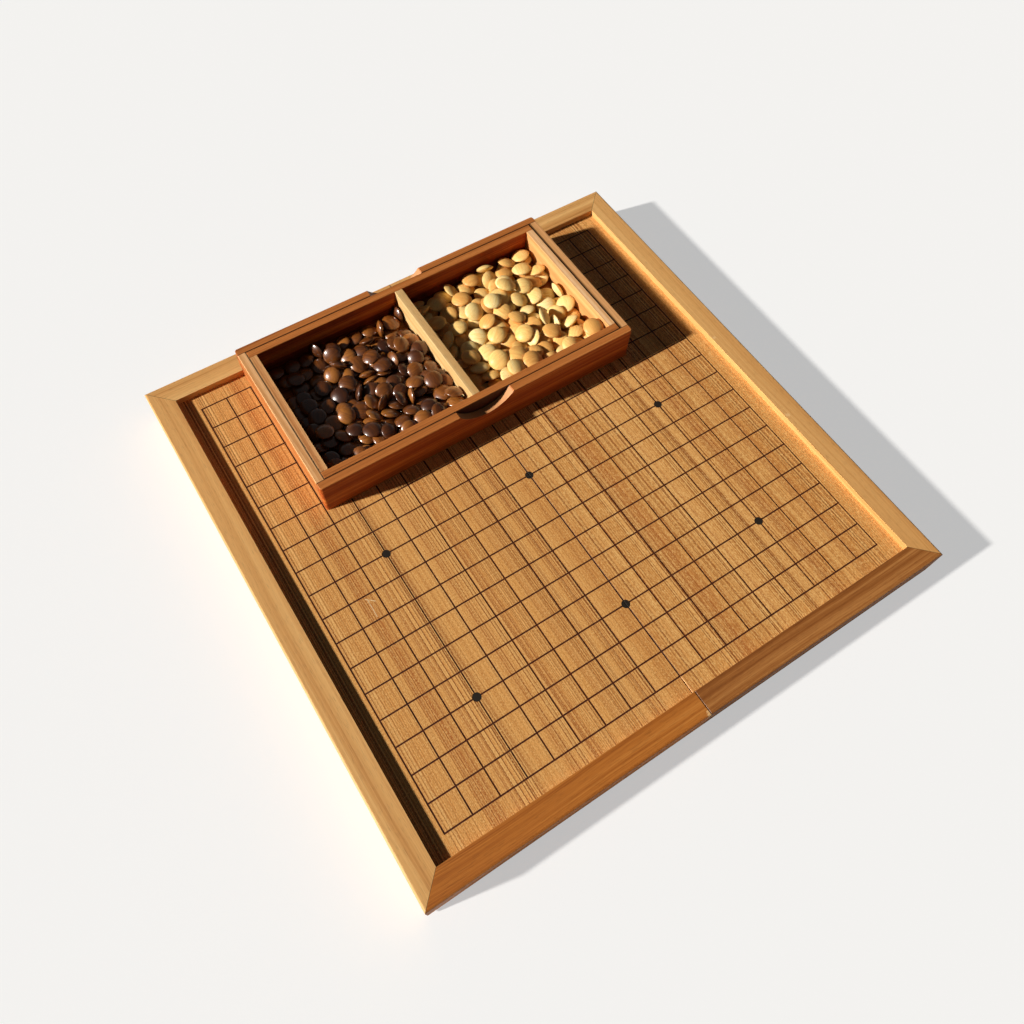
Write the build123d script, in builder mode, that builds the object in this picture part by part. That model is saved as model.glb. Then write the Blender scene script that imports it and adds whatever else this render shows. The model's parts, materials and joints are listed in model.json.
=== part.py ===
"""Folding go board with its stone box standing on it.

Two hollow halves meet at a seam that runs front to back and fold under each other on
two butt hinges. A box stands on the board against the back rail. A tray lifts out of
it, and holds dark stones left of its divider and light stones right of it.

Millimetres, +X right, +Y back, +Z up. The origin is on the floor, under the board's
middle. Each half is drawn as the right one, and the left one is its mirror image.
"""

from build123d import *
from math import floor, sqrt
import os

# ---- playing grid ----
cell = 19.0  # from one line to the next
line_count = 19  # lines each way
line_w = 1.1
line_depth = 0.2  # the lines are engraved
star_d = 6.0
star_cells = 6  # cells from the middle to the outer star points

# ---- board ----
margin = 13.0  # from the outer line to the rail's inner wall
rail_w = 17.0
rail_h = 28.0
rail_round = 1.6  # outer edges of a rail
rail_ease = 0.8  # its inner top edge
lip = 5.0  # the rails stand this far over the playing surface
panel_t = 5.0
panel_tongue = 5.0  # how far a panel's edge sits in a rail's groove
seam_rail_w = 14.0  # rail under the panel, along the seam
seam_clear = 0.1  # each half stops this short of the seam
seam_ease = 0.4  # small bevel along the seam
foot_h = 2.0
foot_d = 10.0
foot_ease = 0.3

# ---- hinges ----
hinge_y = 115.0  # from the middle to each hinge
hinge_len = 40.0
leaf_w = 12.0  # from the hinge line to the leaf's edge
leaf_t = 1.2
knuckle_r = 1.6
knuckle_mid = 14.0  # length of the middle knuckle and its gaps
knuckle_gap = 0.3
pin_r = 0.8
pin_clear = 0.05  # around the pin
hinge_clear = 0.3  # around the knuckles
mortise_clear = 0.1
screw_x = 7.0  # from the hinge line to a screw
screw_y = 13.0  # from a hinge's middle to a screw
screw_r = 1.0
screw_head_r = 2.0
screw_len = 10.0
screw_tip = 1.5
screw_clear = 0.05
slot_w = 0.6
slot_depth = 0.45

# ---- stone box ----
box_w = 254.0
box_d = 134.0
box_h = 29.0
box_x = -5.3  # the box stands a little left of the middle
box_wall = 6.0
box_floor_t = 3.0
box_rabbet = 3.0  # how far the floor sits in the walls
box_round = 2.0  # outer upright corners
box_ease = 0.6  # outer top edge
back_gap = 0.8  # from the box to the back rail
notch_w = 44.0  # finger notches in the front and back walls
notch_depth = 11.0
notch_x = 1.3  # from the box's middle to the notches' middle

# ---- tray ----
tray_gap_left = 0.3
tray_gap_right = 1.3
tray_gap_y = 0.3
tray_wall = 5.6
tray_floor_t = 3.0
tray_rabbet = 2.8
divider_t = 6.0

# ---- stones ----
dark_stone_d = 13.4
dark_stone_t = 5.4
dark_stone_layers = 2
light_stone_d = 14.8
light_stone_t = 5.9
light_stone_layers = 3
stone_rim_r = 1.2
stone_gap = 0.25  # between stones, and to the tray

# ---- places that follow ----
grid_half = cell * (line_count - 1) / 2
inner = grid_half + margin
outer = inner + rail_w
rail_mid = inner + rail_w / 2
rail_bottom = foot_h
rail_top = rail_bottom + rail_h
surface = rail_top - lip
panel_bottom = surface - panel_t
cove_r = knuckle_r + hinge_clear

box_bottom = surface
box_top = box_bottom + box_h
box_back = inner - back_gap
box_front = box_back - box_d
box_left = box_x - box_w / 2
box_right = box_x + box_w / 2

tray_bottom = box_bottom + box_floor_t
tray_left = box_left + box_wall + tray_gap_left
tray_right = box_right - box_wall - tray_gap_right
tray_front = box_front + box_wall + tray_gap_y
tray_back = box_back - box_wall - tray_gap_y
tray_x = (tray_left + tray_right) / 2
tray_top = box_top
tray_seat = tray_bottom + tray_floor_t

os.makedirs("parts", exist_ok=True)


def save(piece, label):
    """Label a finished piece and write it to its own file."""
    piece.label = label
    export_step(piece, f"parts/{label}.step")


def block(low, high, mode=Mode.ADD):
    """A rectangular solid between two corners."""
    size = [high[i] - low[i] for i in range(3)]
    middle = tuple((high[i] + low[i]) / 2 for i in range(3))
    with Locations(middle):
        Box(*size, mode=mode)


def to_side(side):
    """Turn the right-hand piece being built into the left-hand one."""
    if side == "left":
        mirror(about=Plane.YZ, mode=Mode.REPLACE)


# ---- board halves ----
def make_panel(side):
    with BuildPart() as panel:
        edge = inner + panel_tongue
        block((seam_clear, -edge, panel_bottom), (edge, edge, surface))
        seam_edges = panel.edges().filter_by(Axis.Y).group_by(Axis.X)[0]
        chamfer(seam_edges.sort_by(Axis.Z)[-1], line_w / 2 - seam_clear)
        with BuildSketch(Plane.XY.offset(surface)):
            middle_line = (line_count - 1) // 2
            across = grid_half + line_w / 2
            with Locations([(across / 2, cell * row) for row in range(-middle_line, middle_line + 1)]):
                Rectangle(across, line_w)
            with Locations([(cell * column, 0) for column in range(1, middle_line + 1)]):
                Rectangle(line_w, 2 * across)
            star = cell * star_cells
            with Locations([(x, y) for x in (0, star) for y in (-star, 0, star)]):
                Circle(star_d / 2)
        extrude(amount=-line_depth, mode=Mode.SUBTRACT)
        to_side(side)
    return panel.part


def draw_rail_section():
    """A rail's section with its groove: first axis outwards, second axis up."""
    with Locations((rail_mid, (rail_bottom + rail_top) / 2)):
        section = Rectangle(rail_w, rail_h)
    outer_corners = section.vertices().group_by(Axis.X)[-1]
    inner_top = section.vertices().group_by(Axis.X)[0].sort_by(Axis.Y)[-1]
    fillet(outer_corners, rail_round)
    fillet(inner_top, rail_ease)
    with Locations((inner + panel_tongue / 2, surface - panel_t / 2)):
        Rectangle(panel_tongue, panel_t, mode=Mode.SUBTRACT)


def ease_seam(top):
    """Bevel what stands at the seam along its top and its underside."""
    for level, inward in ((rail_bottom, 1), (top, -1)):
        with BuildSketch(Plane.XZ) as bevel:
            Polygon(
                (0, level),
                (seam_clear + seam_ease, level),
                (0, level + inward * (seam_clear + seam_ease)),
                align=None,
            )
        extrude(bevel.sketch, amount=outer, both=True, mode=Mode.SUBTRACT)


def make_side_rail(side):
    """The rail along a half's outer side, mitred at both ends."""
    with BuildPart() as rail:
        with BuildSketch(Plane.XZ):
            draw_rail_section()
        extrude(amount=outer, both=True)
        with BuildSketch(Plane.XY.offset(rail_bottom)):
            Polygon((inner, inner), (inner, -inner), (outer, -outer), (outer, outer), align=None)
        extrude(amount=rail_h, mode=Mode.INTERSECT)
        to_side(side)
    return rail.part


def make_end_rail(side, end):
    """A front or back rail: square at the seam, mitred at the outer corner."""
    with BuildPart() as rail:
        with BuildSketch(Plane.YZ.offset(seam_clear)):
            draw_rail_section()
        extrude(amount=outer)
        with BuildSketch(Plane.XY.offset(rail_bottom)):
            Polygon((0, inner), (inner, inner), (outer, outer), (0, outer), align=None)
        extrude(amount=rail_h, mode=Mode.INTERSECT)
        ease_seam(rail_top)
        if end == "front":
            mirror(about=Plane.XZ, mode=Mode.REPLACE)
        to_side(side)
    return rail.part


def hinge_screw_spots():
    return [(screw_x, y + dy) for y in (-hinge_y, hinge_y) for dy in (-screw_y, screw_y)]


def along_y(x, y, z):
    """A place for a cylinder that lies along Y."""
    return Location((x, y, z), (90, 0, 0))


def make_seam_rail(side):
    """The rail under the panel, cut away for the hinges and their screws."""
    with BuildPart() as rail:
        block((seam_clear, -inner, rail_bottom), (seam_rail_w, inner, panel_bottom))
        ease_seam(panel_bottom)
        half_mortise = hinge_len / 2 + mortise_clear
        for y in (-hinge_y, hinge_y):
            low = (0, y - half_mortise, rail_bottom)
            high = (leaf_w + mortise_clear, y + half_mortise, rail_bottom + leaf_t)
            block(low, high, Mode.SUBTRACT)
            with Locations(along_y(0, y, rail_bottom)):
                Cylinder(cove_r, 2 * half_mortise, mode=Mode.SUBTRACT)
        pilot = Plane((0, 0, rail_bottom), x_dir=(1, 0, 0), z_dir=(0, 0, -1))
        with BuildSketch(pilot):
            with Locations(hinge_screw_spots()):
                Circle(screw_r + screw_clear)
        extrude(amount=-(screw_len + screw_clear), mode=Mode.SUBTRACT)
        to_side(side)
    return rail.part


def knuckle_spans(side):
    """Start and end of a leaf's knuckles, from its hinge's middle."""
    half_gap = knuckle_gap / 2
    middle_end = knuckle_mid / 2 - half_gap
    outer_start = knuckle_mid / 2 + half_gap
    if side == "right":
        return [(-middle_end, middle_end)]
    return [(-hinge_len / 2, -outer_start), (outer_start, hinge_len / 2)]


def make_hinge_leaves(side):
    """Both leaves of one half: a plate in its mortise and the knuckles at its edge."""
    half = hinge_len / 2
    with BuildPart() as leaves:
        for y in (-hinge_y, hinge_y):
            block((cove_r, y - half, rail_bottom), (leaf_w, y + half, rail_bottom + leaf_t))
            for start, end in knuckle_spans(side):
                block((0, y + start, rail_bottom), (cove_r, y + end, rail_bottom + leaf_t))
                with Locations(along_y(0, y + (start + end) / 2, rail_bottom)):
                    Cylinder(knuckle_r, end - start)
            with Locations(along_y(0, y, rail_bottom)):
                Cylinder(pin_r + pin_clear, hinge_len, mode=Mode.SUBTRACT)
        underside = Plane((0, 0, rail_bottom), x_dir=(1, 0, 0), z_dir=(0, 0, -1))
        with Locations(underside):
            with Locations(hinge_screw_spots()):
                CounterSinkHole(screw_r + screw_clear, screw_head_r + screw_clear, depth=leaf_t)
        to_side(side)
    return leaves.part


def make_hinge_pins():
    with BuildPart() as pins:
        with Locations(along_y(0, -hinge_y, rail_bottom), along_y(0, hinge_y, rail_bottom)):
            Cylinder(pin_r, hinge_len)
        chamfer(pins.edges().filter_by(GeomType.CIRCLE), pin_r / 4)
    return pins.part


def make_hinge_screws(side):
    """Countersunk screws, heads down and just inside the leaf's face."""
    face = rail_bottom + screw_clear
    cone = screw_head_r - screw_r
    with BuildPart() as screws:
        for x, y in hinge_screw_spots():
            with BuildSketch(Plane.XZ.offset(-y)):
                Polygon(
                    (x, face),
                    (x + screw_head_r, face),
                    (x + screw_r, face + cone),
                    (x + screw_r, face + screw_len - screw_tip - screw_clear),
                    (x, face + screw_len - screw_clear),
                    align=None,
                )
            revolve(axis=Axis((x, y, 0), (0, 0, 1)))
            block(
                (x - screw_head_r, y - slot_w / 2, face),
                (x + screw_head_r, y + slot_w / 2, face + slot_depth),
                Mode.SUBTRACT,
            )
        to_side(side)
    return screws.part


def make_feet(side):
    """Two round feet under a half's outer corners, on the mitres."""
    with BuildPart() as feet:
        with Locations([(rail_mid, y, foot_h / 2) for y in (-rail_mid, rail_mid)]):
            Cylinder(foot_d / 2, foot_h)
        rims = feet.edges().filter_by(GeomType.CIRCLE).group_by(Axis.Z)[0]
        fillet(rims, foot_ease)
        to_side(side)
    return feet.part


# ---- stone box ----
def make_box_long_wall(end):
    """Front or back wall: full length, notched for the fingers, rebated for the floor."""
    y_out, inward = (box_front, 1) if end == "front" else (box_back, -1)
    y_in = y_out + inward * box_wall
    y_mid = (y_out + y_in) / 2
    with BuildPart() as wall:
        with Locations((box_x, y_mid, (box_bottom + box_top) / 2)):
            Box(box_w, box_wall, box_h)
        outer_face = wall.faces().sort_by(Axis.Y)[0 if end == "front" else -1]
        fillet(outer_face.edges().filter_by(Axis.Z), box_round)
        top_edges = wall.faces().sort_by(Axis.Z)[-1].edges()
        fillet(top_edges.filter_by(Axis.X).sort_by(Axis.Y)[0 if end == "front" else -1], box_ease)
        notch_r = ((notch_w / 2) ** 2 + notch_depth**2) / (2 * notch_depth)
        notch_z = box_top - notch_depth + notch_r
        with Locations(along_y(box_x + notch_x, y_mid, notch_z)):
            Cylinder(notch_r, 2 * box_wall, mode=Mode.SUBTRACT)
        floor_reach = box_w / 2 - box_wall + box_rabbet
        y_low, y_high = sorted((y_in, y_in - inward * box_rabbet))
        block(
            (box_x - floor_reach, y_low, box_bottom),
            (box_x + floor_reach, y_high, box_bottom + box_floor_t),
            Mode.SUBTRACT,
        )
    return wall.part


def make_box_end_wall(side):
    """Left or right wall, between the long walls."""
    x_out, inward = (box_left, 1) if side == "left" else (box_right, -1)
    x_in = x_out + inward * box_wall
    x_low, x_high = sorted((x_out, x_in))
    with BuildPart() as wall:
        block(
            (x_low, box_front + box_wall, box_bottom),
            (x_high, box_back - box_wall, box_top),
        )
        top_edges = wall.faces().sort_by(Axis.Z)[-1].edges()
        fillet(top_edges.filter_by(Axis.Y).sort_by(Axis.X)[0 if side == "left" else -1], box_ease)
        x_low, x_high = sorted((x_in, x_in - inward * box_rabbet))
        block(
            (x_low, box_front + box_wall, box_bottom),
            (x_high, box_back - box_wall, box_bottom + box_floor_t),
            Mode.SUBTRACT,
        )
    return wall.part


def make_box_floor():
    reach = box_wall - box_rabbet
    with BuildPart() as base:
        block(
            (box_left + reach, box_front + reach, box_bottom),
            (box_right - reach, box_back - reach, box_bottom + box_floor_t),
        )
    return base.part


# ---- tray ----
def make_tray_long_wall(end):
    """Front or back wall of the tray: full length, rebated for the floor."""
    y_out, inward = (tray_front, 1) if end == "front" else (tray_back, -1)
    y_in = y_out + inward * tray_wall
    y_low, y_high = sorted((y_out, y_in))
    with BuildPart() as wall:
        block((tray_left, y_low, tray_bottom), (tray_right, y_high, tray_top))
        reach = tray_wall - tray_rabbet
        y_low, y_high = sorted((y_in, y_in - inward * tray_rabbet))
        block(
            (tray_left + reach, y_low, tray_bottom),
            (tray_right - reach, y_high, tray_seat),
            Mode.SUBTRACT,
        )
    return wall.part


def make_tray_end_wall(side):
    """Left or right wall of the tray, between its long walls."""
    x_out, inward = (tray_left, 1) if side == "left" else (tray_right, -1)
    x_in = x_out + inward * tray_wall
    y_low, y_high = tray_front + tray_wall, tray_back - tray_wall
    x_low, x_high = sorted((x_out, x_in))
    with BuildPart() as wall:
        block((x_low, y_low, tray_bottom), (x_high, y_high, tray_top))
        x_low, x_high = sorted((x_in, x_in - inward * tray_rabbet))
        block((x_low, y_low, tray_bottom), (x_high, y_high, tray_seat), Mode.SUBTRACT)
    return wall.part


def make_tray_floor():
    reach = tray_wall - tray_rabbet
    with BuildPart() as base:
        block(
            (tray_left + reach, tray_front + reach, tray_bottom),
            (tray_right - reach, tray_back - reach, tray_seat),
        )
    return base.part


def make_divider():
    with BuildPart() as divider:
        block(
            (tray_x - divider_t / 2, tray_front + tray_wall, tray_seat),
            (tray_x + divider_t / 2, tray_back - tray_wall, tray_top),
        )
    return divider.part


# ---- stones ----
def cap_radius(stone_d, stone_t):
    """Radius of the sphere that a stone's two faces are caps of."""
    rim_reach = stone_d / 2 - stone_rim_r
    half_t = stone_t / 2
    return (rim_reach**2 + half_t**2 - stone_rim_r**2) / (2 * (half_t - stone_rim_r))


def make_stone(stone_d, stone_t):
    """One stone with its middle at the origin: two caps and a round rim, all tangent."""
    half_t = stone_t / 2
    cap_r = cap_radius(stone_d, stone_t)
    to_rim = cap_r / (cap_r - stone_rim_r)  # from the cap's centre, past the rim's
    join = ((stone_d / 2 - stone_rim_r) * to_rim, (cap_r - half_t) * (to_rim - 1))
    with BuildPart() as stone:
        with BuildSketch(Plane.XZ):
            with BuildLine():
                cap_x = join[0] / 2
                cap_z = half_t - cap_r + sqrt(cap_r**2 - cap_x**2)
                ThreePointArc((0, half_t), (cap_x, cap_z), join)
                ThreePointArc(join, (stone_d / 2, 0), (join[0], -join[1]))
                ThreePointArc((join[0], -join[1]), (cap_x, -cap_z), (0, -half_t))
                Line((0, -half_t), (0, half_t))
            make_face()
        revolve(axis=Axis.Z)
    return stone.part


def stone_places(x_low, x_high, stone_d, stone_t, layers):
    """Middles of the stones in one compartment: layers that nest in each other."""
    pitch = stone_d + stone_gap
    row_pitch = pitch * sqrt(3) / 2
    nest = pitch / sqrt(3)  # sideways, from a stone to the hollow between three
    cap_r = cap_radius(stone_d, stone_t)
    nest_drop = cap_r - sqrt(cap_r**2 - (nest / 2) ** 2)
    layer_pitch = stone_t - 2 * nest_drop + stone_gap
    start = stone_d / 2 + stone_gap
    y_low, y_high = tray_front + tray_wall, tray_back - tray_wall
    places = []
    for layer in range(layers):
        shift_x, shift_y = (pitch / 2, nest / 2) if layer % 2 else (0, 0)
        z = tray_seat + stone_gap + stone_t / 2 + layer * layer_pitch
        rows = floor((y_high - y_low - 2 * start - shift_y) / row_pitch) + 1
        for row in range(rows):
            x_shift = (shift_x + pitch / 2 * (row % 2)) % pitch
            columns = floor((x_high - x_low - 2 * start - x_shift) / pitch) + 1
            for column in range(columns):
                x = x_low + start + x_shift + column * pitch
                places.append((x, y_low + start + shift_y + row * row_pitch, z))
    return places


def make_stones(x_low, x_high, stone_d, stone_t, layers):
    """All the stones of one colour, each a solid of its own."""
    stone = make_stone(stone_d, stone_t).solid()
    places = stone_places(x_low, x_high, stone_d, stone_t, layers)
    return Compound([stone.moved(Location(place)) for place in places])


for side in ("left", "right"):
    save(make_panel(side), f"{side}_panel")
    save(make_side_rail(side), f"{side}_side_rail")
    save(make_end_rail(side, "front"), f"{side}_front_rail")
    save(make_end_rail(side, "back"), f"{side}_back_rail")
    save(make_seam_rail(side), f"{side}_seam_rail")
    save(make_hinge_leaves(side), f"{side}_hinge_leaves")
    save(make_hinge_screws(side), f"{side}_hinge_screws")
    save(make_feet(side), f"{side}_feet")
    save(make_box_end_wall(side), f"box_{side}_wall")
    save(make_tray_end_wall(side), f"tray_{side}_wall")

for end in ("front", "back"):
    save(make_box_long_wall(end), f"box_{end}_wall")
    save(make_tray_long_wall(end), f"tray_{end}_wall")

save(make_hinge_pins(), "hinge_pins")
save(make_box_floor(), "box_floor")
save(make_tray_floor(), "tray_floor")
save(make_divider(), "tray_divider")
dark_range = (tray_left + tray_wall, tray_x - divider_t / 2)
light_range = (tray_x + divider_t / 2, tray_right - tray_wall)
save(make_stones(*dark_range, dark_stone_d, dark_stone_t, dark_stone_layers), "dark_stones")
save(make_stones(*light_range, light_stone_d, light_stone_t, light_stone_layers), "light_stones")
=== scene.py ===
"""Looks of the folding board with its stone box: woods, brass, felt and two heaps of stones."""

import json
import math
import random

import bpy
import numpy as np
from mathutils import Matrix, Vector

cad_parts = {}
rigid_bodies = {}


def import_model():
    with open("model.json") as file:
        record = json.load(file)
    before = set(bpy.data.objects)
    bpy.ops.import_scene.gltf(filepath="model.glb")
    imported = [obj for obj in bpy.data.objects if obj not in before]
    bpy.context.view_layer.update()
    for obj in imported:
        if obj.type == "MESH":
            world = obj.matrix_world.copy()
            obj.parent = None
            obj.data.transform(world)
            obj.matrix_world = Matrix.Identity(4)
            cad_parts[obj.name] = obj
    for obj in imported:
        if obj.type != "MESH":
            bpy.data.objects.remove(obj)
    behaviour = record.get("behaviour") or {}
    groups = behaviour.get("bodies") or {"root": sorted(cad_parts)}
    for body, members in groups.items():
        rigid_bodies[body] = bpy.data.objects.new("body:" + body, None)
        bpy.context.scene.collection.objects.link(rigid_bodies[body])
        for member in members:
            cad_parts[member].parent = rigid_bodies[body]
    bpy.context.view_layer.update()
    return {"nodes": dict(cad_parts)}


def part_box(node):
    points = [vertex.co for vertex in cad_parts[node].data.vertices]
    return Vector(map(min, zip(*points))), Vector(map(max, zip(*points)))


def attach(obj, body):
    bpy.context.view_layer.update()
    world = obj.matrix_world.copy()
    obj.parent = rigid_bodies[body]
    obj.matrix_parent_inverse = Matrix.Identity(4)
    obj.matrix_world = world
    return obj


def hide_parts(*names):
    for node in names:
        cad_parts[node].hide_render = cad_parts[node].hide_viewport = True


MM = 0.001
TO_MM = 1000.0

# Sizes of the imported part, in millimetres.
CELL = 19.0
LINE_W = 1.1
STAR_R = 3.0
STAR_STEP = 6 * CELL
GRID_HALF = 9 * CELL
SURFACE_Z = 25.0
HALF_INNER = 184.0
BOX_TOP_Z = 54.0
BOX_RABBET = 3.0
NOTCH_X = -4.0
NOTCH_HALF = 23.0
TRAY_SEAT_Z = 31.0
# The tray's edges are eased so wide, where its faces meet at more than so many degrees.
EASE_WIDTH = 0.35
EASE_ANGLE = 40
COMPARTMENTS = {
    "dark": ((-120.4, 61.1), (-8.8, 171.3)),
    "light": ((-2.8, 61.1), (108.8, 171.3)),
}


# ---------------------------------------------------------------- colours

def srgb(r, g, b):
    """A colour given in display values from 0 to 255, as linear RGBA."""
    def lin(v):
        v /= 255.0
        return v / 12.92 if v <= 0.04045 else ((v + 0.055) / 1.055) ** 2.4
    return (lin(r), lin(g), lin(b), 1.0)


def paler(tone, times, plus):
    """A tone in display values, made lighter, as linear RGBA."""
    return srgb(*[min(255, c * times + plus) for c in tone])


# Tones of each wood in display values, from dark to light.
GOLD = ((176, 116, 58), (206, 148, 84), (222, 168, 102), (234, 186, 120))
ORANGE = ((136, 68, 16), (168, 96, 32), (190, 116, 46), (208, 142, 70))
BROWN = ((88, 42, 8), (124, 68, 22), (152, 92, 40), (182, 122, 64))
RED_BROWN = ((116, 39, 3), (152, 60, 10), (180, 85, 25), (208, 120, 48))
# Painted light: the front and back walls' tops get these paler tones, as if lit from above.
RED_LIT_TOP = ((140, 74, 26), (172, 100, 44), (192, 116, 56), (214, 142, 76))
SIDE = ((120, 60, 20), (160, 90, 38), (186, 114, 56), (206, 138, 78))
TAN = ((160, 98, 44), (198, 138, 78), (216, 158, 96), (232, 182, 118))
# Painted light: the end walls' tops get these paler tones, as if lit from above.
END_LIT_TOP = ((184, 118, 66), (216, 156, 98), (234, 178, 122), (246, 200, 150))
PALE = ((192, 140, 82), (207, 161, 101), (219, 179, 121), (230, 198, 145))
PLAIN = ((146, 94, 44), (170, 116, 60), (190, 136, 76), (204, 154, 96))
BARE_WOOD = srgb(236, 190, 130)
# Partly bare cut wood, partly a painted highlight in the finger notches.
NOTCH_CUT_BARE_AND_LIT = srgb(206, 150, 98)

# The playing surface: its ground as places and colours, and what lies on it.
PLAYING_GROUND = (
    (0.0, srgb(148, 80, 32)), (0.28, srgb(192, 122, 58)), (0.52, srgb(220, 156, 84)),
    (0.78, srgb(232, 172, 100)), (1.0, srgb(246, 196, 124)),
)
THREAD_DARK = srgb(112, 50, 14)
THREAD_BRIGHT = srgb(244, 196, 122)
HAIR_DARK = srgb(150, 84, 34)
STREAK_RED = srgb(150, 64, 20)
SPECK_BRIGHT = srgb(252, 208, 136)
SPECK_DARK = srgb(134, 72, 24)
SCUFF_PALE = srgb(250, 220, 170)
LINE_INK = ((0.3, srgb(54, 17, 2)), (0.7, srgb(86, 34, 5)))
STAR_INK = srgb(32, 24, 16)

FELT_TONES = ((0.3, srgb(52, 34, 24)), (0.55, srgb(84, 58, 40)), (0.8, srgb(120, 90, 66)))

# Brass in display values, light and dark, with its roughness.
LEAF_BRASS = ((226, 188, 112), (176, 136, 70), 0.24)
SCREW_BRASS = ((234, 200, 128), (190, 150, 84), 0.2)
PIN_BRASS = ((214, 176, 104), (168, 130, 70), 0.22)


# ---------------------------------------------------------------- marks of wear

# Redder streaks of the playing surface: place and half width in cells, and strength.
PANEL_STREAKS = (
    (-7.4, 0.45, 0.34), (-6.7, 0.3, 0.16), (-4.6, 0.3, 0.2), (-3.75, 0.34, 0.32),
    (-2.5, 0.22, 0.18), (-1.3, 0.25, 0.2), (0.1, 0.3, 0.18), (2.5, 0.5, 0.34),
    (4.3, 0.35, 0.2), (6.6, 0.5, 0.26), (7.9, 0.35, 0.22),
)
# A pale scuff on it, as lines between two points in millimetres.
PANEL_SCUFFS = (((-140.2, -22.5), (-140.4, -36.0)), ((-141.6, -21.0), (-136.0, -25.8)))

# Where the rails' lacquer is rubbed through: place in millimetres, and radius.
RAIL_WORN = {
    "left_front_rail": (((-1.0, -200.0, 29.5), 2.6),),
    "right_side_rail": (((186.5, -60.0, 30.0), 1.8), ((186.0, 24.0, 30.0), 1.5)),
}


# ---------------------------------------------------------------- facts of the stones

# How many stones of each colour, their radius and half thickness in millimetres, the seed of
# their sizes and places, and the part of the compartment that they are poured over.
STONES = {
    "dark": {"count": 165, "radius": 6.7, "half": 2.7, "seed": 7, "pour": ((0.10, 0.0), (1.0, 0.90))},
    "light": {"count": 150, "radius": 7.4, "half": 2.95, "seed": 19, "pour": ((0.04, 0.0), (0.96, 0.94))},
}
STONE_LOOKS = {
    "dark": {
        "name": "dark_stone_lacquer", "grain_dark": (42, 17, 3),
        "tones": ((58, 24, 4), (92, 46, 10), (126, 70, 20), (160, 98, 38)),
        "gloss": 0.36, "specular": 0.5, "coat": 1.0, "coat_rough": 0.19, "bump_mm": 0.03,
    },
    "light": {
        "name": "light_stone_oil", "grain_dark": (194, 132, 64),
        "tones": ((224, 162, 86), (241, 190, 109), (249, 210, 132), (253, 226, 160)),
        "gloss": 0.45, "specular": 0.3, "coat": 0.1, "coat_rough": 0.3, "bump_mm": 0.05,
    },
}
# How pointed a stone's profile is: 1 is an ellipse.
CROWN = 1.4
# Rings and segments of a stone, as shown and in the simulation.
SHOWN_MESH = (14, 30)
HULL_MESH = (8, 16)
# The shown stones are a little smaller than the simulated ones, so that none cuts into another.
SHOWN_SIZE = 0.99
TONE_SEED_SHIFT = 100

# Where the stones start: a grid of so many by so many in each layer, the first layer's height
# over the tray's floor and the step between layers in millimetres, and the random shifts,
# tilts, widths and thicknesses.
GRID_SIDE = 6
FIRST_DROP = 9.0
DROP_STEP = 15.5
DROP_SHIFT = 0.8
DROP_TILT = 0.9
WIDTHS = (0.94, 1.05)
THICKNESSES = (0.92, 1.04)

# The simulation runs at a larger scale, at which the physics engine is steady.
SIM_SCALE = 20.0
SIM_FRAMES = 70
SIM_SUBSTEPS = 10
SIM_ITERATIONS = 20
SIM_GRAVITY = 14.0
# Its walls in millimetres: thick in front and behind, thin at the sides, and set in by a gap.
WALL_THICK, WALL_THIN, WALL_TOP, WALL_GAP = 20.0, 2.5, 240.0, 0.2
WALL_BODY = {
    "collision_shape": "BOX", "friction": 0.5, "restitution": 0.0,
    "use_margin": True, "collision_margin": 0.0,
}
STONE_BODY = {
    "collision_shape": "CONVEX_HULL", "friction": 0.55, "restitution": 0.02, "mass": 1.0,
    "linear_damping": 0.05, "angular_damping": 0.15, "use_margin": True, "collision_margin": 0.002,
}


# ---------------------------------------------------------------- facts of the camera and the light

# The photograph's pinhole, from a fit to the crossings of the grid.
SENSOR_MM = 36.0
LENS_MM = 29.24
CAMERA_AT = (-0.1813, -0.2307, 0.5306)
CAMERA_AHEAD = (0.272, 0.373, -0.887)
CAMERA_RIGHT = (0.839, -0.543, 0.029)

# The key lamp: strength, width in degrees, colour and the way that its light travels.
SUN_ENERGY = 5.9
SUN_ANGLE = 2.5
SUN_COLOUR = (1.0, 0.97, 0.92)
SUN_TRAVEL = (0.88, -0.175, -0.44)

FLOOR_HALF = 20.0
FLOOR_Z = -0.0002
FLOOR_PAINT = (0.94, 0.94, 0.935, 1.0)
FLOOR_GLOW = (0.98, 0.98, 0.98, 1.0)
# How much of the floor's look to the camera is plain white, so that its shadow is pale.
FLOOR_WHITE = 0.5

# How bright the surroundings are near the horizon and overhead: as light, in gloss and as a
# backdrop. The second value holds from this height on, as the sine of an elevation.
LIT = (0.20, 0.035)
MIRRORED = (0.55, 0.07)
SEEN = (0.84, 0.84)
OVERHEAD = 0.42


# ---------------------------------------------------------------- material nodes

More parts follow.
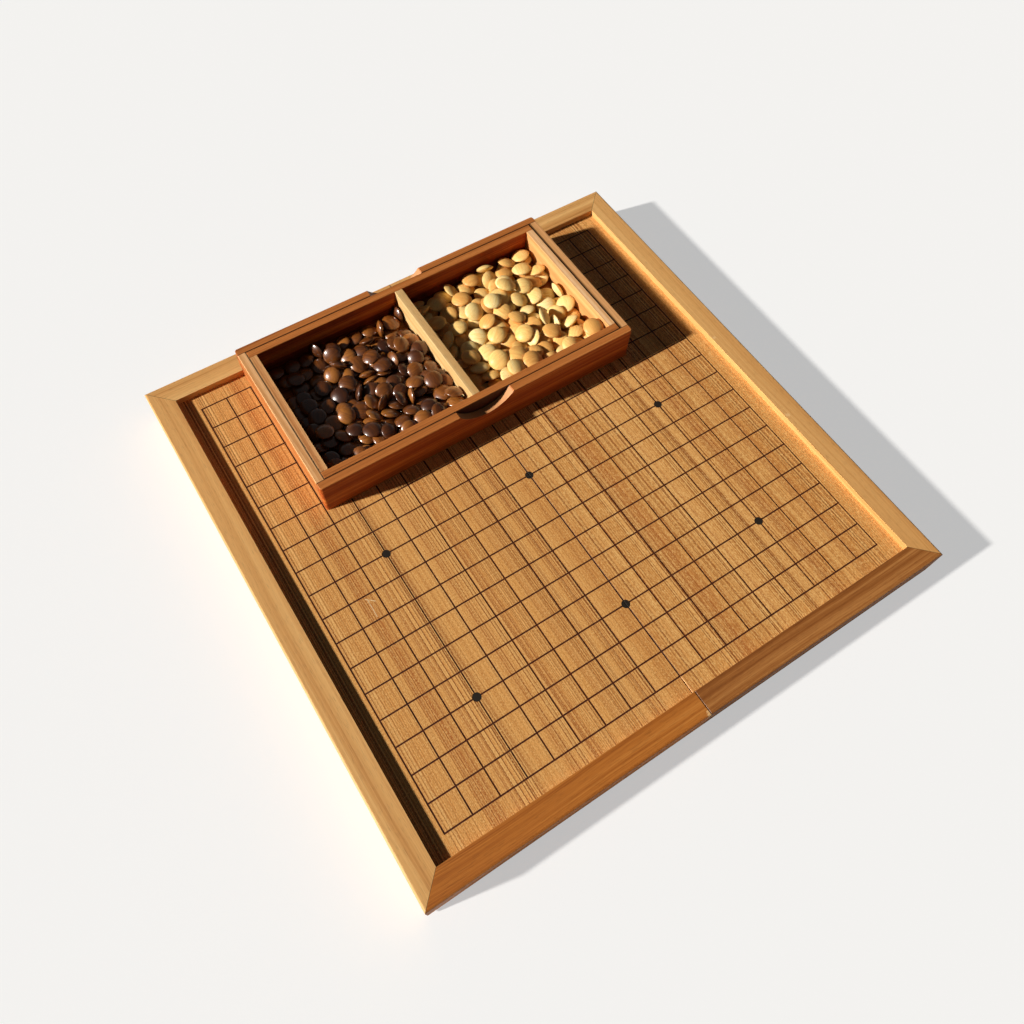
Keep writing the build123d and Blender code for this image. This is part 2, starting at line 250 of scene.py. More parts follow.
class Graph:
    """A material's nodes, written as expressions."""

    def __init__(self, name):
        self.mat = bpy.data.materials.new(name)
        self.mat.use_nodes = True
        self.tree = self.mat.node_tree
        self.tree.nodes.clear()

    def put(self, node, key, value):
        """Links an input to a socket, or sets it to a constant."""
        socket = node.inputs[key]
        if isinstance(value, bpy.types.NodeSocket):
            self.tree.links.new(value, socket)
        else:
            socket.default_value = value

    def node(self, kind, settings=(), inputs=()):
        n = self.tree.nodes.new("ShaderNode" + kind)
        for key, value in dict(settings).items():
            setattr(n, key, value)
        for key, value in dict(inputs).items():
            self.put(n, key, value)
        return n

    def math(self, op, a, b=0.0, c=0.0, clamp=False):
        n = self.node("Math", {"operation": op, "use_clamp": clamp})
        for i, value in enumerate((a, b, c)):
            self.put(n, i, value)
        return n.outputs[0]

    def sub(self, a, b):
        return self.math("SUBTRACT", a, b)

    def mul(self, a, b):
        return self.math("MULTIPLY", a, b)

    def total(self, first, *others):
        """The sum of two or more values."""
        for value in others:
            first = self.math("ADD", first, value)
        return first

    def size(self, value):
        return self.math("ABSOLUTE", value)

    def away(self, value, place):
        """How far a value is from a place."""
        return self.size(self.sub(value, place))

    def centred(self, value, scale):
        """A value around one half, moved to lie around 0 and scaled."""
        return self.mul(self.sub(value, 0.5), scale)

    def half_of_each(self, a, b):
        return self.total(self.mul(a, 0.5), self.mul(b, 0.5))

    def step(self, value, low, high, to_low=0.0, to_high=1.0):
        """A smooth change from to_low at low to to_high at high."""
        n = self.node("MapRange", {"interpolation_type": "SMOOTHSTEP"})
        for key, v in zip(("Value", "From Min", "From Max", "To Min", "To Max"),
                          (value, low, high, to_low, to_high)):
            self.put(n, key, v)
        return n.outputs["Result"]

    def vector(self, x, y, z):
        return self.node("CombineXYZ", (), {"X": x, "Y": y, "Z": z}).outputs[0]

    def split(self, vector):
        return self.node("SeparateXYZ", (), {0: vector}).outputs

    def vector_math(self, op, inputs, output=0):
        return self.node("VectorMath", {"operation": op}, inputs).outputs[output]

    def length(self, vector):
        return self.vector_math("LENGTH", {0: vector}, "Value")

    def noise(self, at, detail, rough=0.5):
        n = self.node("TexNoise", (), {"Vector": at, "Scale": 1.0, "Detail": detail, "Roughness": rough})
        return n.outputs["Fac"]

    def ramp(self, fac, stops):
        n = self.node("ValToRGB", (), {"Fac": fac})
        elements = n.color_ramp.elements
        while len(elements) < len(stops):
            elements.new(0.5)
        for element, (place, colour) in zip(elements, stops):
            element.position = place
            element.color = colour
        return n.outputs["Color"]

    def tones(self, fac, tones):
        """A ramp of display tones at even steps."""
        return self.ramp(fac, [(i / (len(tones) - 1), srgb(*t)) for i, t in enumerate(tones)])

    def mix(self, fac, a, b):
        n = self.node("Mix", {"data_type": "RGBA", "blend_type": "MIX"})
        self.put(n, 0, fac)
        self.put(n, 6, a)
        self.put(n, 7, b)
        return n.outputs[2]

    def shade(self, colour, fac):
        """The colour times a grey value."""
        return self.vector_math("MULTIPLY", {0: colour, 1: self.vector(fac, fac, fac)})

    def dim(self, colour, by):
        """The colour, darker by a share of itself."""
        return self.shade(colour, self.sub(1.0, by))

    def bump(self, height, distance_mm, strength):
        n = self.node("Bump", (), {"Height": height, "Distance": distance_mm * MM, "Strength": strength})
        return n.outputs["Normal"]

    def surface(self, **inputs):
        bsdf = self.node("BsdfPrincipled", (), {k.replace("_", " "): v for k, v in inputs.items()})
        out = self.node("OutputMaterial")
        self.tree.links.new(bsdf.outputs[0], out.inputs["Surface"])
        return self.mat


class Place:
    """A piece's own coordinates in millimetres, sorted into along, across and through the grain."""

    FAR = 900.0

    def __init__(self, g, axis, seed):
        rng = random.Random(seed)
        coord = g.node("TexCoord").outputs["Object"]
        self.g = g
        self.x, self.y, self.z = g.split(g.vector_math("SCALE", {0: coord, "Scale": TO_MM}))
        order = (self.x, self.y, self.z) if axis == "x" else (self.y, self.x, self.z)
        # each piece has its own part of the grain
        self.along, self.across, self.through = (
            g.total(value, rng.uniform(0, self.FAR)) for value in order
        )
        # a slow wander, so that no fibre is quite straight
        self.sway = g.sub(g.noise(self.stretched(170, 60), 1.0), 0.5)

    def bend(self, by_mm):
        self.across = self.g.math("MULTIPLY_ADD", self.sway, by_mm, self.across)

    def stretched(self, along_mm, across_mm):
        """Coordinates in which a pattern is so long along the grain, and so wide across it."""
        g = self.g
        return g.vector(g.mul(self.along, 1 / along_mm), g.mul(self.across, 1 / across_mm),
                        g.mul(self.through, 1 / across_mm))


def edge_amount(g, radius_mm):
    """1 at a sharp edge and 0 a little way from it."""
    soft = g.node("Bevel", {"samples": 4}, {"Radius": radius_mm * MM}).outputs[0]
    flat = g.node("NewGeometry").outputs["Normal"]
    return g.step(g.vector_math("DOT_PRODUCT", {0: soft, 1: flat}, "Value"), 0.98, 0.80)


# ---------------------------------------------------------------- plain wood

def wood(name, axis, seed, tones, band, line, contrast=1.0, bare=False, mitre=False, seam_dark=0.0,
         worn=(), joint=None, notched=False, lit_top_tones=None):
    """Straight-grained wood, lacquered unless it is bare. band and line are the widths of its
    stripes in millimetres, and tones and lit_top_tones run from dark to light."""
    g = Graph(name)
    p = Place(g, axis, seed)
    p.bend(9.0)
    broad = g.noise(p.stretched(520, band * 3.2), 1.0)
    bands = g.noise(p.stretched(700, band), 3.0, 0.55)
    lines = g.noise(p.stretched(240, line), 2.0, 0.55)
    fibre = g.noise(p.stretched(16, 0.5), 2.0, 0.6)
    pore = g.step(g.noise(p.stretched(5.5, 0.34), 0.0), 0.63, 0.74)
    tone = g.total(g.centred(broad, 1.1 * contrast), g.centred(bands, 1.5 * contrast),
                   g.centred(lines, 0.9 * contrast), g.centred(fibre, 0.38 * contrast))
    tone = g.math("ADD", tone, 0.5, clamp=True)
    colour = g.tones(tone, tones)
    if lit_top_tones:
        # painted light: the top is paler than the faces below, as if lit from above
        colour = g.mix(g.step(p.z, BOX_TOP_Z - 0.8, BOX_TOP_Z - 0.3), colour, g.tones(tone, lit_top_tones))
    colour = g.dim(colour, g.mul(pore, 0.17))
    # paler sharp edges: partly rubbed lacquer, partly a painted highlight along the edges
    worn_and_highlit_edge = g.mul(edge_amount(g, 0.9), g.step(g.noise(p.stretched(30, 9), 2.0), 0.35, 0.7, 0.1, 0.5))
    colour = g.mix(worn_and_highlit_edge, colour, paler(tones[-1], 1.12, 10))
    if mitre:
        colour = g.dim(colour, g.mul(mitre_line(g, p), 0.72))
    if seam_dark:
        colour = g.dim(colour, g.mul(g.step(g.size(p.x), 0.9, 0.2), seam_dark))
    if notched:
        # painted highlight, partly bare wood: the notch's cut is paler
        colour = g.mix(g.mul(bare_and_lit_notch_cut(g, p), 0.75), colour, NOTCH_CUT_BARE_AND_LIT)
    if joint:
        # painted shade in the gap between box and tray: the wood is darker along that line
        side, place = joint
        near = g.step(g.away(p.x if side == "x" else p.y, place), 0.75, 0.3)
        colour = g.dim(colour, g.mul(near, 0.8))
    for centre, radius in worn:
        away = g.length(g.vector_math("SUBTRACT", {0: g.vector(p.x, p.y, p.z), 1: centre}))
        ragged = g.total(away, g.centred(g.noise(p.stretched(3, 1.2), 2.0), radius * 1.6))
        colour = g.mix(g.step(ragged, radius, radius * 0.55, 0.0, 0.8), colour, BARE_WOOD)
    gloss, coat = (0.6, 0.0) if bare else (0.56, 0.03)
    height = g.sub(g.half_of_each(fibre, lines), g.mul(pore, 0.5))
    rough = g.step(g.half_of_each(fibre, bands), 0.3, 0.7, gloss + 0.09, gloss - 0.05)
    return g.surface(Base_Color=colour, Roughness=rough, Normal=g.bump(height, 0.12, 0.5),
                     Coat_Weight=coat, Coat_Roughness=0.3, IOR=1.5, Specular_IOR_Level=0.3)


def mitre_line(g, p):
    """1 in the joint between two rails at a corner of the board."""
    size_x, size_y = g.size(p.x), g.size(p.y)
    corner = g.math("GREATER_THAN", g.math("MINIMUM", size_x, size_y), HALF_INNER - 1)
    return g.mul(g.step(g.away(size_x, size_y), 0.34, 0.12), corner)


def bare_and_lit_notch_cut(g, p):
    """1 on the finger notch's cut, painted paler than the lacquered faces: partly bare cut wood, partly a
    painted highlight where light falls into the notch.
    """
    facing = g.split(g.node("TexCoord").outputs["Normal"])[1]
    cut = g.mul(g.step(g.size(facing), 0.7, 0.4), g.step(p.z, BOX_TOP_Z - 0.3, BOX_TOP_Z - 0.9))
    return g.mul(cut, g.math("LESS_THAN", g.away(p.x, NOTCH_X), NOTCH_HALF))


# ---------------------------------------------------------------- the playing surface

def playing_wood(name, seed):
    """The ruled surface: striped golden wood, with dark lines and star points in its engraving."""
    g = Graph(name)
    p = Place(g, "y", seed)
    p.bend(0.35)
    zone = g.noise(p.stretched(4000, 13), 1.0, 0.4)
    striped = g.step(zone, 0.42, 0.60)
    fine = g.noise(p.stretched(1500, 1.05), 1.0)
    finer = g.noise(p.stretched(900, 0.62), 1.0)
    wide = g.noise(p.stretched(2400, 2.6), 2.0, 0.55)
    slow = g.noise(p.stretched(1500, 17), 1.0)
    fibre = g.noise(p.stretched(7, 0.4), 1.0, 0.6)
    tone = g.total(g.centred(slow, 0.6), g.centred(wide, g.step(zone, 0.4, 0.6, 0.5, 1.2)),
                   g.centred(fibre, 0.62))
    colour = g.ramp(g.math("ADD", tone, 0.6, clamp=True), PLAYING_GROUND)
    # narrow dark growth lines that run the whole depth, close together in the striped zones
    thread = g.mul(g.step(fine, 0.50, 0.60), g.total(g.mul(striped, 0.7), 0.3))
    thread = g.mul(thread, g.step(g.noise(p.stretched(90, 1.2), 1.0), 0.3, 0.6, 0.55, 1.0))
    colour = g.mix(g.mul(thread, 0.8), colour, THREAD_DARK)
    hair = g.mul(g.step(finer, 0.52, 0.64), g.total(g.mul(striped, 0.45), 0.35))
    colour = g.mix(hair, colour, HAIR_DARK)
    bright = g.mul(g.step(fine, 0.46, 0.37), g.total(g.mul(striped, 0.6), 0.3))
    colour = g.mix(g.mul(bright, 0.6), colour, THREAD_BRIGHT)
    colour = with_streaks(g, p, colour, finer)
    # open pores and bright specks between them
    speck = g.noise(p.stretched(1.2, 0.5), 0.0)
    colour = g.mix(g.mul(g.step(speck, 0.56, 0.76), 0.48), colour, SPECK_BRIGHT)
    colour = g.mix(g.mul(g.step(speck, 0.44, 0.25), 0.36), colour, SPECK_DARK)
    colour = with_scuffs(g, p, colour, speck)
    ink, star = engraving(g, p)
    burnt = g.mix(star, g.ramp(g.noise(p.stretched(6, 1.2), 2.0), LINE_INK), STAR_INK)
    colour = g.mix(ink, colour, burnt)

    height = g.total(g.mul(fibre, 0.5), g.mul(g.sub(1.0, thread), 0.6), g.mul(speck, 0.4))
    rough = g.step(g.half_of_each(fibre, wide), 0.3, 0.7, 0.60, 0.46)
    rough = g.math("MAXIMUM", rough, g.mul(ink, 0.75))
    return g.surface(Base_Color=colour, Roughness=rough, Normal=g.bump(height, 0.1, 0.5),
                     Specular_IOR_Level=0.3, IOR=1.5)


def with_streaks(g, p, colour, finer):
    """A few redder streaks along the grain, broken up by its finest lines."""
    for centre, width, amount in PANEL_STREAKS:
        away = g.away(g.math("MULTIPLY_ADD", p.sway, 0.9, p.x), centre * CELL)
        streak = g.mul(g.step(away, width * CELL, 0.0), g.step(finer, 0.40, 0.60, 0.35, 1.3))
        colour = g.mix(g.mul(streak, amount), colour, STREAK_RED)
    return colour


def with_scuffs(g, p, colour, speck):
    """A small pale scuff, drawn with a few short lines."""
    for (ax, ay), (bx, by) in PANEL_SCUFFS:
        length = math.hypot(bx - ax, by - ay)
        ux, uy = (bx - ax) / length, (by - ay) / length
        dx, dy = g.sub(p.x, ax), g.sub(p.y, ay)
        along = g.total(g.mul(dx, ux), g.mul(dy, uy))
        aside = g.away(g.mul(dy, ux), g.mul(dx, uy))
        inside = g.mul(g.step(along, -0.4, 0.6), g.step(along, length + 0.4, length - 0.8))
        mark = g.mul(g.mul(g.step(aside, 0.55, 0.1), inside), g.step(speck, 0.25, 0.55, 0.35, 1.0))
        colour = g.mix(g.mul(mark, 0.72), colour, SCUFF_PALE)
    return colour


def engraving(g, p):
    """1 in the lines and star points that are cut into the surface, and 1 in the star points."""
    def line(value, limit_value):
        folded = g.math("PINGPONG", value, CELL / 2)
        near = g.step(folded, LINE_W / 2 + 0.06, LINE_W / 2 - 0.08)
        inside = g.math("LESS_THAN", g.size(limit_value), GRID_HALF + LINE_W / 2)
        return g.mul(g.mul(near, inside), g.math("LESS_THAN", value, GRID_HALF + LINE_W))

    def off_star(value):
        nearest = g.mul(g.math("ROUND", g.mul(value, 1 / STAR_STEP)), STAR_STEP)
        return g.sub(value, nearest)

    size_x, size_y = g.size(p.x), g.size(p.y)
    star_x, star_y = off_star(size_x), off_star(size_y)
    away = g.math("SQRT", g.total(g.mul(star_x, star_x), g.mul(star_y, star_y)))
    star = g.step(away, STAR_R + 0.1, STAR_R - 0.15)
    ink = g.math("MAXIMUM", g.math("MAXIMUM", line(size_x, p.y), line(size_y, p.x)), star)
    return g.mul(ink, g.math("GREATER_THAN", p.z, SURFACE_Z - 1.0)), star


# ---------------------------------------------------------------- stones' wood, brass and felt

def stone_wood(colour_name):
    """Turned wood. Each stone has its own tone and its own piece of grain."""
    look = STONE_LOOKS[colour_name]
    rim = STONES[colour_name]["radius"]
    g = Graph(look["name"])

    def attribute(name, output):
        return g.node("Attribute", {"attribute_type": "GEOMETRY", "attribute_name": name}).outputs[output]

    own = attribute("stone_tone", "Fac")
    x, y, z = g.split(attribute("stone_at", "Vector"))
    shift = g.mul(own, Place.FAR)
    u, v, w = g.total(x, shift), y, g.total(z, shift)

    def stretched(along_mm, across_mm):
        return g.vector(g.mul(u, 1 / along_mm), g.mul(v, 1 / across_mm), g.mul(w, 1 / across_mm))

    v = g.total(v, g.centred(g.noise(stretched(30, 9), 1.0), 3.0))
    rings = g.noise(stretched(60, 1.5), 2.0, 0.6)
    fibre = g.noise(stretched(5, 0.35), 1.0)
    cloud = g.noise(stretched(14, 9), 1.0)
    tone = g.total(g.centred(own, 0.95), g.centred(rings, 0.9), g.centred(cloud, 0.5))
    colour = g.tones(g.math("ADD", tone, 0.5, clamp=True), look["tones"])
    colour = g.mix(g.mul(g.step(fibre, 0.58, 0.75), 0.5), colour, srgb(*look["grain_dark"]))
    # the stone is a little darker towards its rim
    colour = g.shade(colour, g.step(g.length(g.vector(x, y, 0.0)), rim * 0.88, rim, 1.0, 0.82))
    gloss = look["gloss"]
    return g.surface(Base_Color=colour, Roughness=g.step(fibre, 0.3, 0.8, gloss, gloss + 0.12),
                     Normal=g.bump(g.half_of_each(rings, fibre), look["bump_mm"], 0.5),
                     Coat_Weight=look["coat"], Coat_Roughness=look["coat_rough"], IOR=1.5,
                     Specular_IOR_Level=look["specular"])


def brass(name, seed, light, dark, gloss):
    """Brass with a cloudy tarnish, fine drawing marks and bright edges."""
    g = Graph(name)
    p = Place(g, "y", seed)
    cloud = g.noise(p.stretched(7, 7), 3.0, 0.6)
    drawn = g.noise(p.stretched(14, 0.22), 2.0)
    spots = g.step(g.noise(p.stretched(1.6, 1.6), 2.0), 0.60, 0.72)
    colour = g.mix(g.step(cloud, 0.35, 0.7), srgb(*dark), srgb(*light))
    colour = g.dim(colour, g.mul(spots, 0.25))
    colour = g.mix(g.mul(edge_amount(g, 0.25), 0.5), colour, paler(light, 1.0, 18))
    rough = g.total(g.step(cloud, 0.3, 0.7, gloss + 0.12, gloss), g.mul(spots, 0.15))
    return g.surface(Base_Color=colour, Metallic=1.0, Roughness=rough,
                     Normal=g.bump(g.total(drawn, g.mul(cloud, 0.6)), 0.02, 0.4))


def felt(name, seed):
    """Pressed brown felt."""
    g = Graph(name)
    p = Place(g, "x", seed)
    tuft = g.noise(p.stretched(0.9, 0.9), 3.0, 0.7)
    hair = g.noise(p.stretched(3.0, 0.25), 2.0, 0.6)
    colour = g.ramp(g.total(g.mul(tuft, 0.6), g.mul(hair, 0.4)), FELT_TONES)
    return g.surface(Base_Color=colour, Roughness=0.95, Normal=g.bump(g.total(tuft, hair), 0.25, 0.8),
                     Sheen_Weight=0.4, Sheen_Roughness=0.5, Specular_IOR_Level=0.2)


# ---------------------------------------------------------------- stones

def lens(radius, half, rings, segments):
    """Points and faces of a biconvex stone with a rounded rim, about the origin."""
    points, faces = [(0.0, 0.0, half)], []
    for i in range(1, rings):
        a = math.pi * i / rings
        r = radius * math.sin(a)
        z = half * math.copysign(abs(math.cos(a)) ** CROWN, math.cos(a))
        for k in range(segments):
            t = math.tau * k / segments
            points.append((r * math.cos(t), r * math.sin(t), z))
    points.append((0.0, 0.0, -half))
    last, base = len(points) - 1, 1 + (rings - 2) * segments
    for k in range(segments):
        n = (k + 1) % segments
        faces.append((0, 1 + k, 1 + n))
        for i in range(rings - 2):
            a, b = 1 + i * segments + k, 1 + i * segments + n
            faces.append((a, a + segments, b + segments, b))
        faces.append((last, base + n, base + k))
    return points, faces


def new_mesh(name, points, faces):
    mesh = bpy.data.meshes.new(name)
    mesh.from_pydata([tuple(p) for p in points], [], faces)
    mesh.update()
    return mesh


def new_object(name, data):
    o = bpy.data.objects.new(name, data)
    bpy.context.scene.collection.objects.link(o)
    return o


def block_object(name, low, high):
    """A box between two corners in millimetres, at the simulation's scale."""
    middle = [(a + b) / 2 for a, b in zip(low, high)]
    points = [tuple((c - m) * MM * SIM_SCALE for c, m in zip((x, y, z), middle))
              for x in (low[0], high[0]) for y in (low[1], high[1]) for z in (low[2], high[2])]
    faces = [(0, 1, 3, 2), (4, 6, 7, 5), (0, 4, 5, 1), (2, 3, 7, 6), (0, 2, 6, 4), (1, 5, 7, 3)]
    o = new_object(name, new_mesh(name, points, faces))
    o.location = [m * MM * SIM_SCALE for m in middle]
    return o


def start_places(colour):
    """Where each stone starts, in millimetres, with its first turn and its own size."""
    facts = STONES[colour]
    (x0, y0), (x1, y1) = COMPARTMENTS[colour]
    (left, front), (right, back) = facts["pour"]
    rng = random.Random(facts["seed"])
    places = []

    def spot(low, high, start, end, index):
        share = start + (end - start) * (index + 0.5) / GRID_SIDE
        return low + (high - low) * share + rng.uniform(-DROP_SHIFT, DROP_SHIFT)

    for i in range(facts["count"]):
        layer, k = divmod(i, GRID_SIDE * GRID_SIDE)
        row, column = divmod(k, GRID_SIDE)
        x = spot(x0, x1, left, right, column)
        y = spot(y0, y1, front, back, row)
        z = TRAY_SEAT_Z + FIRST_DROP + layer * DROP_STEP
        turn = (rng.uniform(-DROP_TILT, DROP_TILT), rng.uniform(-DROP_TILT, DROP_TILT),
                rng.uniform(0, math.tau))
        width = rng.uniform(*WIDTHS)
        places.append(((x, y, z), turn, (width, width, width * rng.uniform(*THICKNESSES))))
    return places


def pour_walls(colour):
    """The floor and the four walls that hold a compartment's stones."""
    (x0, y0), (x1, y1) = COMPARTMENTS[colour]
    x0, y0, x1, y1 = x0 + WALL_GAP, y0 + WALL_GAP, x1 - WALL_GAP, y1 - WALL_GAP
    z0, thick, thin, top = TRAY_SEAT_Z, WALL_THICK, WALL_THIN, WALL_TOP
    return [
        block_object("pour_floor", (x0 - thick, y0 - thick, z0 - thick), (x1 + thick, y1 + thick, z0)),
        block_object("pour_left", (x0 - thin, y0 - thick, z0), (x0, y1 + thick, top)),
        block_object("pour_right", (x1, y0 - thick, z0), (x1 + thin, y1 + thick, top)),
        block_object("pour_front", (x0, y0 - thick, z0), (x1, y0, top)),
        block_object("pour_back", (x0, y1, z0), (x1, y1 + thick, top)),
    ]


def make_rigid(objects, kind, facts):
    """Makes objects take part in the simulation, passive or active."""
    for o in bpy.context.scene.objects:
        o.select_set(False)
    for o in objects:
        o.select_set(True)
    bpy.context.view_layer.objects.active = objects[0]
    bpy.ops.rigidbody.objects_add(type=kind)
    for o in objects:
        for key, value in facts.items():
            setattr(o.rigid_body, key, value)


def pour(colours):
    """Drops the stones into their compartments and returns where each comes to rest, in metres."""
    scene = bpy.context.scene
    walls, stones = [], {}
    for colour in colours:
        walls += pour_walls(colour)
        radius, half = (STONES[colour][key] * MM * SIM_SCALE for key in ("radius", "half"))
        hull = new_mesh("stone_hull", *lens(radius, half, *HULL_MESH))
        stones[colour] = []
        for place, turn, size in start_places(colour):
            o = new_object("pour_stone", hull)
            o.location = [v * MM * SIM_SCALE for v in place]
            o.rotation_euler = turn
            o.scale = size
            stones[colour].append(o)
    bpy.ops.rigidbody.world_add()
    world = scene.rigidbody_world
    world.substeps_per_frame = SIM_SUBSTEPS
    world.solver_iterations = SIM_ITERATIONS
    world.point_cache.frame_start, world.point_cache.frame_end = 1, SIM_FRAMES
    scene.gravity = (0, 0, -SIM_GRAVITY)
    falling = [o for group in stones.values() for o in group]
    make_rigid(walls, "PASSIVE", WALL_BODY)
    make_rigid(falling, "ACTIVE", STONE_BODY)
    for frame_number in range(1, SIM_FRAMES + 1):
        scene.frame_set(frame_number)
    graph = bpy.context.evaluated_depsgraph_get()
    down = Matrix.Scale(1 / SIM_SCALE, 4)
    found = {}
    for colour, group in stones.items():
        found[colour] = []
        for o in group:
            m = o.evaluated_get(graph).matrix_world
            turn = m.to_3x3().normalized().to_4x4()
            found[colour].append(Matrix.Translation(down @ m.translation) @ turn)
    bpy.ops.rigidbody.world_remove()
    for o in walls + falling:
        bpy.data.objects.remove(o)
    scene.frame_set(1)
    return found


def heap(name, colour, matrices):
    """One mesh that holds every stone of a colour, with each stone's tone and own coordinates."""
    facts = STONES[colour]
    points, faces = lens(facts["radius"], facts["half"], *SHOWN_MESH)
    base = np.array(points)
    rng = random.Random(facts["seed"] + TONE_SEED_SHIFT)
    sizes = [size for _, _, size in start_places(colour)]
    where, own, tone, all_faces = [], [], [], []
    for i, (m, size) in enumerate(zip(matrices, sizes)):
        a = np.array(m)
        where.append(base * size * SHOWN_SIZE * MM @ a[:3, :3].T + a[:3, 3])
        own.append(base)
        tone.append(np.full(len(base), rng.random()))
        all_faces += [tuple(v + i * len(base) for v in f) for f in faces]
    mesh = new_mesh(name, np.concatenate(where), all_faces)
    mesh.shade_smooth()
    mesh.attributes.new("stone_tone", "FLOAT", "POINT").data.foreach_set(
        "value", np.concatenate(tone).astype(np.float32))
    mesh.attributes.new("stone_at", "FLOAT_VECTOR", "POINT").data.foreach_set(
        "vector", np.concatenate(own).astype(np.float32).ravel())
    return new_object(name, mesh)


# ---------------------------------------------------------------- the frame, the camera and the stage

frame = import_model()
nodes = frame["nodes"]


def make_camera():
    """A camera where the photograph was taken from."""
    data = bpy.data.cameras.new("camera")
    data.sensor_width = SENSOR_MM
    data.lens = LENS_MM
    data.clip_start, data.clip_end = 0.01, 50.0
    cam = new_object("camera", data)
    ahead = Vector(CAMERA_AHEAD).normalized()
    right = Vector(CAMERA_RIGHT)
    right = (right - ahead * right.dot(ahead)).normalized()
    up = right.cross(ahead)
    turn = Matrix((right, up, -ahead)).transposed().to_4x4()
    cam.matrix_world = Matrix.Translation(CAMERA_AT) @ turn
    bpy.context.scene.camera = cam


def floor_material():
    """A pale floor that the camera sees paler still, and that is clear from below."""
    g = Graph("floor")
    paint = g.node("BsdfDiffuse", (), {"Color": FLOOR_PAINT})
    glow = g.node("Emission", (), {"Color": FLOOR_GLOW, "Strength": 1.0})
    seen = g.mul(g.node("LightPath").outputs["Is Camera Ray"], FLOOR_WHITE)
    front = g.node("MixShader", (), {0: seen, 1: paint.outputs[0], 2: glow.outputs[0]})
    clear = g.node("BsdfTransparent")
    behind = g.node("NewGeometry").outputs["Backfacing"]
    both = g.node("MixShader", (), {0: behind, 1: front.outputs[0], 2: clear.outputs[0]})
    out = g.node("OutputMaterial")
    g.tree.links.new(both.outputs[0], out.inputs["Surface"])
    return g.mat


def make_stage():
    """Pale floor, low key lamp from the left and behind, pale surroundings."""
    scene = bpy.context.scene
    scene.view_settings.view_transform = "Standard"
    half = FLOOR_HALF
    corners = [(-half, -half, FLOOR_Z), (half, -half, FLOOR_Z), (half, half, FLOOR_Z), (-half, half, FLOOR_Z)]
    floor = new_object("floor", new_mesh("floor", corners, [(0, 1, 2, 3)]))
    floor.data.materials.append(floor_material())

    lamp = bpy.data.lights.new("key", "SUN")
    lamp.energy = SUN_ENERGY
    lamp.angle = math.radians(SUN_ANGLE)
    lamp.color = SUN_COLOUR
    key = new_object("key", lamp)
    key.rotation_mode = "QUATERNION"
    key.rotation_quaternion = Vector(SUN_TRAVEL).to_track_quat("-Z", "Y")

    make_surroundings(scene)


def make_surroundings(scene):
    """Even light from all round, and a paler backdrop for what is seen directly or in a reflection."""
    world = bpy.data.worlds.new("surroundings")
    scene.world = world
    world.use_nodes = True
    tree = world.node_tree
    tree.nodes.clear()

    def node(kind, *links):
        n = tree.nodes.new("ShaderNode" + kind)
        for key, socket in links:
            tree.links.new(socket, n.inputs[key])
        return n

    split = node("SeparateXYZ", (0, node("TexCoord").outputs["Generated"]))
    path = node("LightPath")
    either = node("Math", (0, path.outputs["Is Glossy Ray"]), (1, path.outputs["Is Transmission Ray"]))
    either.operation = "MAXIMUM"
    backgrounds = []
    for low, high in (LIT, MIRRORED, SEEN):
        ramp = node("ValToRGB", (0, split.outputs["Z"]))
        for element, place, value in zip(ramp.color_ramp.elements, (0.0, OVERHEAD), (low, high)):
            element.position, element.color = place, (value, value, value, 1)
        backgrounds.append(node("Background", ("Color", ramp.outputs[0])).outputs[0])
    lit, mirrored, seen = backgrounds
    lit_or_mirrored = node("MixShader", (0, either.outputs[0]), (1, lit), (2, mirrored)).outputs[0]
    both = node("MixShader", (0, path.outputs["Is Camera Ray"]), (1, lit_or_mirrored), (2, seen))
    node("OutputWorld", ("Surface", both.outputs[0]))


# ---------------------------------------------------------------- finishes

def dress(node, material):
    """Gives a node of the part its finish."""
    nodes[node].material_slots[0].material = material


def ease(node):
    """Takes the sharpness off a plain board's edges."""
    o = nodes[node]
    weld = o.modifiers.new("weld", "WELD")
    weld.merge_threshold = 1e-6
    bevel = o.modifiers.new("ease", "BEVEL")
    bevel.width, bevel.segments = EASE_WIDTH * MM, 2
    bevel.limit_method, bevel.angle_limit = "ANGLE", math.radians(EASE_ANGLE)
    even = o.modifiers.new("even", "WEIGHTED_NORMAL")
    even.keep_sharp = False


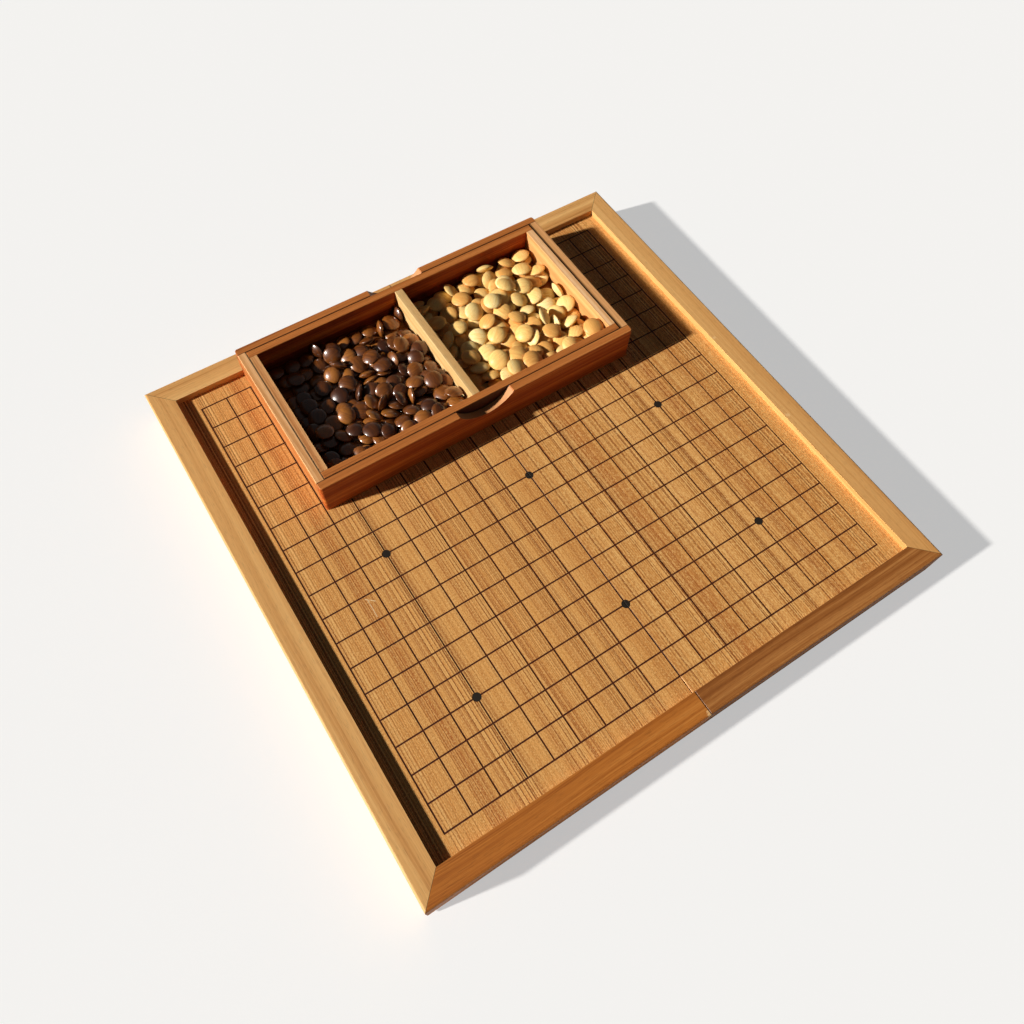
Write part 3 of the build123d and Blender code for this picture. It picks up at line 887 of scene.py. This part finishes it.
def dress_board():
    dress("left_panel", playing_wood("left_panel_wood", 3))
    dress("right_panel", playing_wood("right_panel_wood", 11))
    rails = {
        "left_side_rail": ("y", GOLD, 0.8), "right_side_rail": ("y", GOLD, 0.8),
        "left_back_rail": ("x", GOLD, 0.9), "right_back_rail": ("x", GOLD, 0.9),
        "left_front_rail": ("x", ORANGE, 1.1), "right_front_rail": ("x", BROWN, 1.2),
    }
    for i, (node, (axis, tones, contrast)) in enumerate(rails.items()):
        dress(node, wood(node + "_wood", axis, 20 + i, tones, band=7, line=1.2, contrast=contrast,
                         mitre=True, seam_dark=0.5 if axis == "x" else 0.0,
                         worn=RAIL_WORN.get(node, ())))
    for i, node in enumerate(("left_seam_rail", "right_seam_rail")):
        dress(node, wood(node + "_wood", "y", 40 + i, PLAIN, band=6, line=1.3, bare=True))


def wall_joint(node, aside):
    """Where the line between box and tray runs beside a wall: X or Y, and millimetres."""
    low, high = (corner[aside] * TO_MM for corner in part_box("box_floor"))
    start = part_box(node)[0][aside] * TO_MM
    nearer = min((low + BOX_RABBET, high - BOX_RABBET), key=lambda place: abs(place - start))
    return "xy"[aside], nearer


def dress_box():
    boards = {
        "box_front_wall": ("x", RED_BROWN), "box_back_wall": ("x", RED_BROWN),
        "box_left_wall": ("y", SIDE), "box_right_wall": ("y", SIDE),
        "tray_front_wall": ("x", RED_BROWN), "tray_back_wall": ("x", RED_BROWN),
        "tray_left_wall": ("y", TAN), "tray_right_wall": ("y", TAN),
        "tray_divider": ("y", PALE),
        "box_floor": ("x", PLAIN), "tray_floor": ("x", BROWN),
    }
    for i, (node, (axis, tones)) in enumerate(boards.items()):
        if node.startswith("tray_"):
            ease(node)
        joint = lit_top_tones = None
        if node.endswith("_wall"):
            # painted shade along the gap between box and tray
            joint = wall_joint(node, 0 if axis == "y" else 1)
            # painted light: the walls' tops are given paler tones than their faces
            lit_top_tones = END_LIT_TOP if axis == "y" else RED_LIT_TOP
        dress(node, wood(node + "_wood", axis, 60 + i, tones, band=5.5, line=1.0,
                         bare=node.endswith("floor"), joint=joint, lit_top_tones=lit_top_tones,
                         notched=node in ("box_front_wall", "box_back_wall")))


def dress_hardware():
    for side, seed in (("left", 80), ("right", 81)):
        dress(side + "_hinge_leaves", brass(side + "_hinge_brass", seed, *LEAF_BRASS))
        dress(side + "_hinge_screws", brass(side + "_screw_brass", seed + 4, *SCREW_BRASS))
        dress(side + "_feet", felt(side + "_felt", seed + 8))
    dress("hinge_pins", brass("pin_brass", 90, *PIN_BRASS))


# ---------------------------------------------------------------- making the scene

make_camera()
make_stage()
dress_board()
dress_box()
dress_hardware()

rest = pour(list(COMPARTMENTS))
for colour, node in (("dark", "dark_stones"), ("light", "light_stones")):
    piece = heap(colour + "_stone_pile", colour, rest[colour])
    piece.data.materials.append(stone_wood(colour))
    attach(piece, colour + "_stone_heap")
    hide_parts(node)
